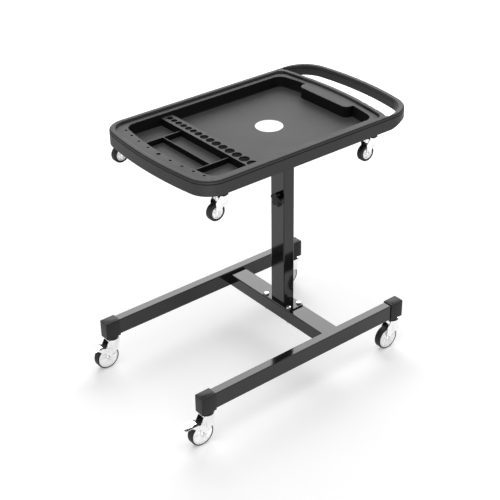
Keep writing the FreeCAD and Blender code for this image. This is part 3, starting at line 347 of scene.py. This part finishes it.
def tray_moulding():
    """Black moulding: hatched where things are laid, with painted shade on the inner walls and in
    the seam groove, and painted light on the skirt.
    """
    finish = Finish("tray_moulding")
    x, y, z = finish.split(finish.place())
    up = finish.split(finish.place("Normal"))[2]
    flat, steep, across = up > FLAT, up < STEEP, abs(y)
    lid = within(across + LID_TAPER * (x - FLOOR_AREA[2]), x, LID_AREA)
    laid = (within(across, x, FLOOR_AREA) + lid) * flat
    inner = within(across, x, INNER_AREA)
    # Inner walls of the well: the rim tone is darkened there as painted shade
    wall = inner * steep
    # Outer steep faces of the skirt: the rim tone is lightened there as painted light
    skirt = steep * (1 - inner)
    # The seam band: a dark line of painted shade in the groove between skirt and rim
    seam = (abs(z - sizes().seam) < SEAM_SHADE_HALF) * skirt
    turn = 2 * math.pi / sizes().hatch
    hatch = ((x + y) * turn).sine() * ((x - y) * turn).sine()
    cloud = finish.noise(7, 2)
    floor, rim = colours().tray_floor, colours().tray_rim
    base = finish.mixed(laid, finish.mixed(cloud, shade(rim, 0.9), shade(rim, 1.15)),
                        finish.mixed(0.5 + 0.5 * hatch, shade(floor, 0.62), shade(floor, 1.34)))
    # Painted shade on the inner walls and in the seam groove, and painted light on the skirt
    for mask, factor in ((wall, 0.25), (skirt, 3), (seam, 0.1)):
        base = finish.mixed(mask, base, shade(rim, factor))
    relief = laid * hatch * 0.6 + finish.noise(900, 2) * 0.4 - 2 * seam
    return finish.set(base_color=base, roughness=0.42 + 0.1 * cloud + 0.08 * laid + 0.12 * wall,
                      specular_ior_level=0.15, normal=finish.bump(relief, 0.35, 0.25 * MM))


def grained(name, tone, roughness, scale=1100, strength=0.2, specular=0.5):
    """A plain moulding or rubber with a fine grain and slightly uneven gloss."""
    finish = Finish(name)
    cloud = finish.noise(25, 3)
    return finish.set(base_color=finish.mixed(cloud, shade(tone, 0.85), shade(tone, 1.15)),
                      roughness=roughness - 0.05 + 0.1 * cloud, specular_ior_level=specular,
                      normal=finish.bump(finish.noise(scale, 2), strength, 0.12 * MM))


def plated(name, tone, roughness, streak):
    """Bright plate: a metal whose gloss varies in fine drawn streaks."""
    finish = Finish(name)
    line = finish.noise(160, 3, (1, 1, streak))
    cloud = finish.noise(40, 2)
    return finish.set(base_color=finish.mixed(cloud, shade(tone, 0.93), shade(tone, 1.0)),
                      metallic=1.0, roughness=roughness + 0.06 * line,
                      normal=finish.bump(line, 0.04, 0.1 * MM))


def make_finishes():
    """The materials by the record's slot names."""
    tones = colours()
    return {
        "black_painted_steel": gloss_paint(),
        "tray_plastic": tray_moulding(),
        "cap_plastic": grained("cap_moulding", tones.cap, 0.4, specular=0.22),
        "slide_plastic": grained("slide_moulding", tones.slide, 0.45),
        "knob_plastic": grained("knob_moulding", tones.knob, 0.3, 700, 0.1, 0.15),
        "zinc_steel": plated("bright_zinc", tones.zinc, 0.22, 0.3),
        "chrome": plated("bright_chrome", tones.chrome, 0.06, 0.2),
        "tyre_rubber": grained("tyre_rubber", tones.rubber, 0.5, 1500, 0.3, 0.25),
        "wheel_white": grained("wheel_moulding", tones.wheel, 0.3, 900, 0.08),
        "disc": grained("plain_disc", tones.disc, 0.35, 1200, 0.05),
    }


FINISHES = {}


def finish_of(slot):
    if not FINISHES:
        FINISHES.update(make_finishes())
    return FINISHES[slot]


def paint(piece, slot):
    piece.data.materials.clear()
    piece.data.materials.append(finish_of(slot))


# Modelling helpers

def focus(piece):
    """Makes the piece the only one selected, in object mode."""
    if bpy.context.object and bpy.context.object.mode != "OBJECT":
        bpy.ops.object.mode_set(mode="OBJECT")
    bpy.ops.object.select_all(action="DESELECT")
    if piece:
        piece.select_set(True)
        bpy.context.view_layer.objects.active = piece


def added(name):
    """The primitive just added, with its place moved into its mesh."""
    piece = bpy.context.object
    piece.name = piece.data.name = name
    bpy.ops.object.transform_apply(location=True, rotation=True, scale=True)
    return piece


def edit(piece):
    focus(piece)
    bpy.ops.object.mode_set(mode="EDIT")


def done():
    bpy.ops.object.mode_set(mode="OBJECT")


def choose_all():
    bpy.ops.mesh.select_all(action="SELECT")


def choose(piece, kind, test):
    """In edit mode, selects what passes the test and nothing else."""
    modes = tuple(kind == name for name in ("VERT", "EDGE", "FACE"))
    bpy.context.tool_settings.mesh_select_mode = modes
    bpy.ops.mesh.select_all(action="DESELECT")
    mesh = bmesh.from_edit_mesh(piece.data)
    mesh.normal_update()
    for item in {"VERT": mesh.verts, "EDGE": mesh.edges, "FACE": mesh.faces}[kind]:
        if test(item):
            item.select_set(True)
    mesh.select_flush_mode()
    bmesh.update_edit_mesh(piece.data)


def extrude(shift):
    """Extrudes what's selected along Y."""
    bpy.ops.mesh.extrude_region_move(TRANSFORM_OT_translate={"value": (0, shift, 0)})


def inset(*widths):
    for width in widths:
        bpy.ops.mesh.inset(thickness=width)


def spin(steps, centre, axis):
    """In edit mode, turns the section's outline about the axis into a closed skin."""
    choose_all()
    bpy.ops.mesh.delete(type="ONLY_FACE")
    choose_all()
    bpy.ops.mesh.spin(steps=steps, angle=2 * math.pi, center=centre, axis=axis)
    choose_all()
    bpy.ops.mesh.remove_doubles(threshold=MERGE)
    bpy.ops.mesh.normals_make_consistent(inside=False)


def smooth(piece):
    focus(piece)
    bpy.ops.object.shade_smooth_by_angle(angle=math.radians(SMOOTH_BELOW))


def modified(piece, kind, **settings):
    """Adds the modifier to the piece and applies it."""
    focus(piece)
    modifier = piece.modifiers.new(kind.lower(), kind)
    assign(modifier, settings)
    bpy.ops.object.modifier_apply(modifier=modifier.name)


def softened(piece, width):
    """Bevels the sharp edges of the piece and shades it."""
    modified(piece, "BEVEL", width=width, segments=2, limit_method="ANGLE",
             angle_limit=math.radians(BEVEL_ABOVE), use_clamp_overlap=True)
    smooth(piece)


def block(name, size, place, edge, tilt=0.0):
    """A softened bar, tilted about Y."""
    bpy.ops.mesh.primitive_cube_add(size=1, location=place, rotation=(0, tilt, 0))
    bpy.context.object.scale = size
    piece = added(name)
    softened(piece, edge)
    return piece


def joined(name, pieces):
    focus(pieces[0])
    for piece in pieces[1:]:
        piece.select_set(True)
    bpy.ops.object.join()
    pieces[0].name = pieces[0].data.name = name
    return pieces[0]


def middle(node):
    low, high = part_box(node)
    return (low + high) / 2


def half(node):
    low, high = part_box(node)
    return (high - low) / 2


def settle(piece, slot, body, *nodes):
    """Gives the piece its finish, the body it rides on and the nodes it stands for."""
    paint(piece, slot)
    if nodes:
        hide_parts(*nodes)
    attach(piece, body)


def new_object(name, mesh):
    """A copy of the mesh as an object of its own."""
    piece = bpy.data.objects.new(name, mesh.copy())
    piece.data.name = name
    bpy.context.scene.collection.objects.link(piece)
    return piece


def copy_at(piece, name, shift):
    other = new_object(name, piece.data)
    other.data.transform(Matrix.Translation(shift))
    smooth(other)
    return other


def spread(master, kind, solid, title, slot):
    """Puts a copy of the master in each corner, for that corner's solid, and removes the master."""
    nodes = ["%s_%s_%s" % (kind, solid, name) for name in CORNERS]
    for name, node in zip(CORNERS, nodes):
        shift = middle(node) - middle(nodes[0])
        piece = copy_at(master, "%s_%s_%s" % (kind, title, name), shift)
        settle(piece, slot, CARRIER[node], node)
    bpy.data.objects.remove(master)


def refined(name, node, width=0.0, slot="chrome"):
    """A copy of a solid, its triangles merged and its edges softened, that stands for it."""
    piece = new_object(name, frame["nodes"][node].data)
    focus(piece)
    if piece.data.has_custom_normals:
        bpy.ops.mesh.customdata_custom_splitnormals_clear()
    edit(piece)
    choose_all()
    bpy.ops.mesh.remove_doubles(threshold=MERGE)
    if width:
        bpy.ops.mesh.dissolve_limited(angle_limit=math.radians(FLAT_BELOW))
    done()
    if width:
        softened(piece, width)
    else:
        smooth(piece)
    settle(piece, slot, CARRIER[node], node)
    return piece


def bearing(away):
    return math.atan2(away.y, away.x)


def to_circle(start, toward, centre, radius):
    """How far it is from the start to the circle."""
    gap = centre - start
    along = gap.dot(toward)
    return along + math.sqrt(along ** 2 - gap.length_squared + radius ** 2)


# The steps that dress the table

class Maker(bpy.types.Operator):
    """What the operators that make the table share"""
    bl_options = {"REGISTER", "UNDO"}

    def execute(self, context):
        focus(None)
        self.make()
        focus(None)
        return {"FINISHED"}


class DressSolids(Maker):
    """Gives every solid the finish of its slot"""
    bl_idname = "worktable.dress_solids"
    bl_label = "Dress the solids"

    def make(self):
        for part in frame["record"]["subparts"]:
            paint(frame["nodes"][part["node"]], part["material_slot"])


class MakeTray(Maker):
    """Refines the tray moulding and lays a plain round disc on its floor"""
    bl_idname = "worktable.make_tray"
    bl_label = "Tray"

    def make(self):
        tray = refined("tray_moulding", "tray", slot="tray_plastic")
        self.groove(tray)
        self.round_grab_bar(tray)
        self.strip_ends()
        self.disc()

    def groove(self, tray):
        """Presses the fine groove between skirt and rim into the outside of the moulding."""
        levels = [sizes().seam + shift * MM for shift in GROOVE_EDGES]

        def outside(vert):
            x, y, z = vert.co
            outward = vert.normal.x * x + vert.normal.y * y > 0
            at_bottom = min(abs(z - level) for level in levels[1:3]) < HAIR / 2
            return outward and at_bottom and not within(abs(y), x, GROOVE_INNER)

        edit(tray)
        for level in levels:
            choose_all()
            bpy.ops.mesh.bisect(plane_co=(0, 0, level), plane_no=(0, 0, 1))
        choose(tray, "VERT", outside)
        bpy.ops.transform.shrink_fatten(value=-GROOVE_DEPTH)
        done()

    def round_grab_bar(self, tray):
        """Draws the grab bar's corners in from the radius of the solid to the wider one."""
        size = sizes()
        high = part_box("tray")[1]
        bow_middle = Vector((high.x - size.bar_bow, 0))

        def corner_middle(radius):
            side = high.y - radius
            along = math.sqrt((size.bar_bow - radius) ** 2 - side ** 2)
            return Vector((bow_middle.x + along, side))

        wide, tight = corner_middle(size.bar_corner), corner_middle(size.bar_solid_corner)
        self.cut_finely(tray, wide, high)
        for vert in tray.data.vertices:
            away = Vector((vert.co.x, abs(vert.co.y))) - wide
            if not bearing(wide - bow_middle) < bearing(away) < math.pi / 2:
                continue
            toward = away.normalized()
            edge = to_circle(wide, toward, tight, size.bar_solid_corner)
            on_corner = wide + toward * edge - tight
            if on_corner.x < 0:
                edge = size.bar_corner / toward.y
            elif bearing(on_corner) < bearing(tight - bow_middle):
                edge = to_circle(wide, toward, bow_middle, size.bar_bow)
            away -= toward * (edge - size.bar_corner)
            vert.co.x = wide.x + away.x
            vert.co.y = math.copysign(wide.y + away.y, vert.co.y)
        smooth(tray)

    def cut_finely(self, tray, wide, high):
        """Gives the corners of the grab bar enough points to bend."""
        start = wide.x - CUT_LEAD
        edit(tray)
        choose_all()
        bpy.ops.mesh.bisect(plane_co=(start, 0, 0), plane_no=(1, 0, 0))
        for normal, place in (((1, 0, 0), wide.x), ((0, 1, 0), wide.y), ((0, -1, 0), wide.y)):
            while place < max(high.x * normal[0], high.y * abs(normal[1])):
                choose(tray, "FACE",
                       lambda face: min(vert.co.x for vert in face.verts) > start - HAIR)
                bpy.ops.mesh.bisect(plane_co=Vector(normal) * place, plane_no=normal)
                place += CUT_STEP
        done()

    def strip_ends(self):
        """Closes the hollow of the socket strip at its two ends, under the ledge."""
        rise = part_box("tray_socket")[1].z + STRIP_RISE + STRIP_RIB.z / 2
        ends = [block("end", STRIP_RIB, (STRIP_MIDDLE, side * STRIP_HALF, rise), BAR_EDGE)
                for side in (-1, 1)]
        settle(joined("strip_end_ribs", ends), "tray_plastic", "tray")

    def disc(self):
        size = sizes()
        floor = frame["record"]["mounts"][0]["pos_m"][2]
        bpy.ops.mesh.primitive_cylinder_add(
            vertices=72, radius=size.disc_radius, depth=size.disc_thick,
            location=(size.disc_place, 0, floor + size.disc_thick / 2))
        disc = added("plain_disc")
        edit(disc)
        choose(disc, "FACE", lambda face: face.normal.z > FLAT)
        inset(DISC_BORDER)
        bpy.ops.mesh.inset(thickness=DISC_STEP, depth=-DISC_SINK)
        done()
        softened(disc, DISC_EDGE)
        settle(disc, "disc", "tray")


class MakeTyres(Maker):
    """Turns the tyres from a rounded section, with a mould line round the tread"""
    bl_idname = "worktable.make_tyres"
    bl_label = "Tyres"

    def make(self):
        for kind in KINDS:
            first = "%s_tyre_%s" % (kind, CORNERS[0])
            tyre = self.turn(kind, middle(first), half(first))
            spread(tyre, kind, "tyre", "tread", "tyre_rubber")

    def turn(self, kind, centre, size):
        hub = size_of("face", kind)
        tall = size.z - hub
        top = centre.z + size.z - HAIR
        bpy.ops.mesh.primitive_plane_add(size=1, location=centre + Vector((0, 0, hub + tall / 2)),
                                         rotation=(0, math.pi / 2, 0))
        bpy.context.object.scale = (tall, 2 * size.y, 1)
        piece = added(kind + "_tyre_turned")
        edit(piece)
        choose(piece, "VERT", lambda vert: vert.co.z > top)
        bpy.ops.mesh.bevel(offset=size_of("tyre_corner", kind), segments=6, affect="VERTICES",
                           profile=0.5)
        choose(piece, "EDGE", lambda edge: all(vert.co.z > top for vert in edge.verts))
        bpy.ops.mesh.subdivide(number_cuts=3)
        choose(piece, "VERT",
               lambda vert: vert.co.z > top and abs(vert.co.y - centre.y) < 2 * HAIR)
        bpy.ops.transform.translate(value=(0, 0, -MOULD_LINE))
        spin(72, centre, (0, 1, 0))
        done()
        return piece


class MakeWheels(Maker):
    """Builds the dished wheel centres with hub, rim lip and ribs"""
    bl_idname = "worktable.make_wheels"
    bl_label = "Wheel centres"

    def make(self):
        for kind in KINDS:
            first = "%s_wheel_%s" % (kind, CORNERS[0])
            tread = half("%s_tyre_%s" % (kind, CORNERS[0])).y
            wheel = self.build(kind, middle(first), half(first), tread)
            spread(wheel, kind, "wheel", "centre", "wheel_white")

    def build(self, kind, centre, size, tread):
        rim, bore, hub = size_of("face", kind), BORES[kind], HUBS[kind]
        lip, web = LIP_PART * tread, WEB_PART * tread
        wall = WALL_PART * tread + WALL_LEAST
        dish = rim - wall - hub
        bpy.ops.mesh.primitive_cylinder_add(vertices=60, radius=rim, depth=2 * lip, location=centre,
                                            rotation=(math.pi / 2, 0, 0))
        piece = added(kind + "_wheel_turned")
        edit(piece)
        for side in (-1, 1):
            choose(piece, "FACE", lambda face: face.normal.y * side > FLAT)
            inset(wall)
            extrude(-side * (lip - web))
            inset(dish * FILLET_PART, dish * (1 - FILLET_PART))
            extrude(side * (size.y - web))
            inset(hub - bore)
        choose(piece, "FACE", lambda face: len(face.verts) > 8)
        bpy.ops.mesh.delete(type="ONLY_FACE")
        choose(piece, "EDGE", lambda edge: edge.is_boundary)
        bpy.ops.mesh.bridge_edge_loops()
        done()
        softened(piece, PLATE_EDGE)
        ribs = self.spokes(centre, hub * SPOKE_IN_HUB, rim - wall * SPOKE_IN_WALL, lip, web)
        return joined(piece.name, [piece] + ribs)

    def spokes(self, centre, start, end, lip, web):
        """The ribs from hub to rim, through both sides of the web."""
        size = (end - start, 2 * (web + (lip - web) * SPOKE_PART), SPOKE_THICK)
        count = sizes().spokes
        ribs = []
        for index in range(count):
            angle = 2 * math.pi * index / count
            away = Vector((math.cos(angle), 0, math.sin(angle)))
            ribs.append(block("rib", size, centre + away * (start + end) / 2, BAR_EDGE, -angle))
        return ribs


class MakeForks(Maker):
    """Softens the plated forks, axles and brake pedals, and adds round fronts and grip ribs"""
    bl_idname = "worktable.make_forks"
    bl_label = "Forks and pedals"

    def make(self):
        edge = sizes().edge * 0.7
        for kind in KINDS:
            for name in CORNERS:
                fork, axle = ["%s_%s_%s" % (kind, solid, name) for solid in ("fork", "axle")]
                refined("%s_fork_plated_%s" % (kind, name), fork, edge)
                self.front(kind, name, fork)
                refined("%s_axle_bolt_%s" % (kind, name), axle, edge, "zinc_steel")
        for name in BRAKED:
            pedal = "brake_pedal_" + name
            refined("pedal_plate_" + name, pedal, edge)
            self.grip(name, pedal)

    def front(self, kind, name, fork):
        """The round front of a pressed fork, about its swivel."""
        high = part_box(fork)[1]
        crown, tall = CROWNS[kind], size_of("front", kind)
        axis = Vector((high.x - crown, middle(fork).y, high.z - FRONT_DROP))
        bpy.ops.mesh.primitive_cylinder_add(vertices=64, radius=crown - HAIR, depth=tall,
                                            end_fill_type="NOTHING",
                                            location=axis - Vector((0, 0, tall / 2)))
        piece = added("%s_fork_front_%s" % (kind, name))
        edit(piece)
        choose(piece, "FACE", lambda face: face.calc_center_median().x < axis.x - FRONT_BACK)
        bpy.ops.mesh.delete(type="FACE")
        done()
        modified(piece, "SOLIDIFY", thickness=PLATE, offset=-1)
        softened(piece, PLATE_EDGE)
        settle(piece, "chrome", CARRIER[fork])

    def grip(self, name, pedal):
        """The ribs across a pedal, for the shoe."""
        low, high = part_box(pedal)
        size = (GRIP_WIDE, (high.y - low.y) * GRIP_PART, GRIP_HIGH)
        bars = [block("bar", size, (low.x + GRIP_START + GRIP_PITCH * index, middle(pedal).y,
                                    high.z + HAIR), GRIP_EDGE)
                for index in range(GRIP_COUNT)]
        settle(joined("pedal_grip_" + name, bars), "chrome", CARRIER[pedal])


class MakeSeals(Maker):
    """Rolls a black dust cover round the ball race of every caster"""
    bl_idname = "worktable.make_seals"
    bl_label = "Swivel covers"

    def make(self):
        for kind in KINDS:
            races = kind + "_swivel_races"
            low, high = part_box(races)
            inner = CROWNS[kind] * COVER_PART
            centres = [Vector((high.x - inner if name.endswith("right") else low.x + inner,
                               high.y - inner if name.startswith("rear") else low.y + inner,
                               low.z)) for name in CORNERS]
            cover = self.cover(kind, centres[0], inner, high.z - low.z + COVER_RISE)
            for name, centre in zip(CORNERS, centres):
                piece = copy_at(cover, "%s_swivel_cover_%s" % (kind, name), centre - centres[0])
                settle(piece, "cap_plastic", CARRIER[races])
            bpy.data.objects.remove(cover)

    def cover(self, kind, centre, inner, tall):
        place = Vector((inner + COVER_THICK / 2, 0, tall / 2 + HAIR))
        bpy.ops.mesh.primitive_plane_add(size=1, rotation=(math.pi / 2, 0, 0),
                                         location=centre + place)
        bpy.context.object.scale = (COVER_THICK, tall - COVER_PLAY, 1)
        piece = added(kind + "_cover")
        edit(piece)
        choose(piece, "VERT", lambda vert: vert.co.x > centre.x + place.x)
        bpy.ops.mesh.bevel(offset=COVER_ROUND, segments=4, affect="VERTICES")
        spin(48, centre, (0, 0, 1))
        done()
        return piece


class MakeFrame(Maker):
    """Softens the moulded end caps, the foot bolts and the knob"""
    bl_idname = "worktable.make_frame"
    bl_label = "Caps, bolts and knob"

    def make(self):
        edge = sizes().edge
        for name in CORNERS:
            refined("cap_moulding_" + name, "end_cap_" + name, edge * 0.6, "cap_plastic")
        refined("knob_moulding", "lock_knob", edge * 0.6, "knob_plastic")
        refined("foot_bolt_heads", "foot_bolts", edge, "zinc_steel")


class SetStage(Maker):
    """Floor, backdrop, lamps and the camera"""
    bl_idname = "worktable.set_stage"
    bl_label = "Stage"

    def make(self):
        self.floor()
        self.world()
        for name, settings in LAMPS.items():
            self.lamp(name, *settings)
        self.camera()

    def floor(self):
        bpy.ops.mesh.primitive_plane_add(size=30, location=(0, 0, 0))
        floor = added("studio_floor")
        finish = Finish("studio_floor")
        x, y = finish.split(finish.place())[:2]
        far = finish.node("ShaderNodeMath", {"operation": "MULTIPLY", "use_clamp": True},
                          {0: x * x + y * y - GLOW_START, 1: GLOW_RISE})
        glow = finish.mixed(far, grey(GLOW_NEAR), grey(GLOW_FAR))
        finish.set(base_color=colours().floor, roughness=0.9, specular_ior_level=0,
                   emission_color=finish.mixed(finish.seen(), grey(0), glow), emission_strength=1)
        floor.data.materials.append(finish.material)

    def world(self):
        world = bpy.data.worlds.new("studio")
        world.use_nodes = True
        bpy.context.scene.world = world
        graph = Graph(world.node_tree)
        level = graph.node("ShaderNodeMapRange", None,
                           {"Value": graph.seen(), "To Min": WORLD_FILL, "To Max": WORLD_SEEN})
        background = world.node_tree.nodes["Background"]
        graph.feed(background.inputs["Color"], grey(1))
        graph.feed(background.inputs["Strength"], level)

    def lamp(self, name, direction, distance, wide, tall, power):
        data = bpy.data.lights.new(name, "AREA")
        data.shape = "RECTANGLE"
        data.size, data.size_y = wide, tall
        data.energy = power
        self.aimed(name, data, LAMP_AIM, direction, distance).visible_camera = False

    def camera(self):
        data = bpy.data.cameras.new("camera")
        assign(data, CAMERA_LENS)
        scene = bpy.context.scene
        scene.camera = self.aimed("camera", data, CAMERA_AIM, CAMERA_SIDE, CAMERA_AWAY)
        scene.view_settings.view_transform = "Standard"

    def aimed(self, name, data, aim, direction, distance):
        """Stands a lamp or the camera off in the direction, facing what it's aimed at."""
        piece = bpy.data.objects.new(name, data)
        bpy.context.scene.collection.objects.link(piece)
        away = Vector(direction).normalized()
        piece.location = aim + away * distance
        piece.rotation_euler = away.to_track_quat("Z", "Y").to_euler()
        return piece


class TablePanel(bpy.types.Panel):
    """Lists the steps that dress the table"""
    bl_idname = "VIEW3D_PT_worktable"
    bl_label = "Lifting work table"
    bl_space_type = "VIEW_3D"
    bl_region_type = "UI"
    bl_category = "Work table"

    def draw(self, context):
        for group in (sizes(), colours()):
            for name in group.__annotations__:
                self.layout.prop(group, name)
        for step in STEPS:
            self.layout.operator(step.bl_idname)


STEPS = (DressSolids, MakeTray, MakeTyres, MakeWheels, MakeForks, MakeSeals, MakeFrame, SetStage)
CLASSES = (TableSizes, TableColours) + STEPS + (TablePanel,)


def register():
    for item in CLASSES:
        bpy.utils.register_class(item)
    bpy.types.Scene.table_sizes = PointerProperty(type=TableSizes)
    bpy.types.Scene.table_colours = PointerProperty(type=TableColours)


def unregister():
    del bpy.types.Scene.table_colours
    del bpy.types.Scene.table_sizes
    for item in reversed(CLASSES):
        bpy.utils.unregister_class(item)


def main():
    register()
    for step in STEPS:
        group, name = step.bl_idname.split(".")
        getattr(getattr(bpy.ops, group), name)()


if __name__ == "__main__":
    main()
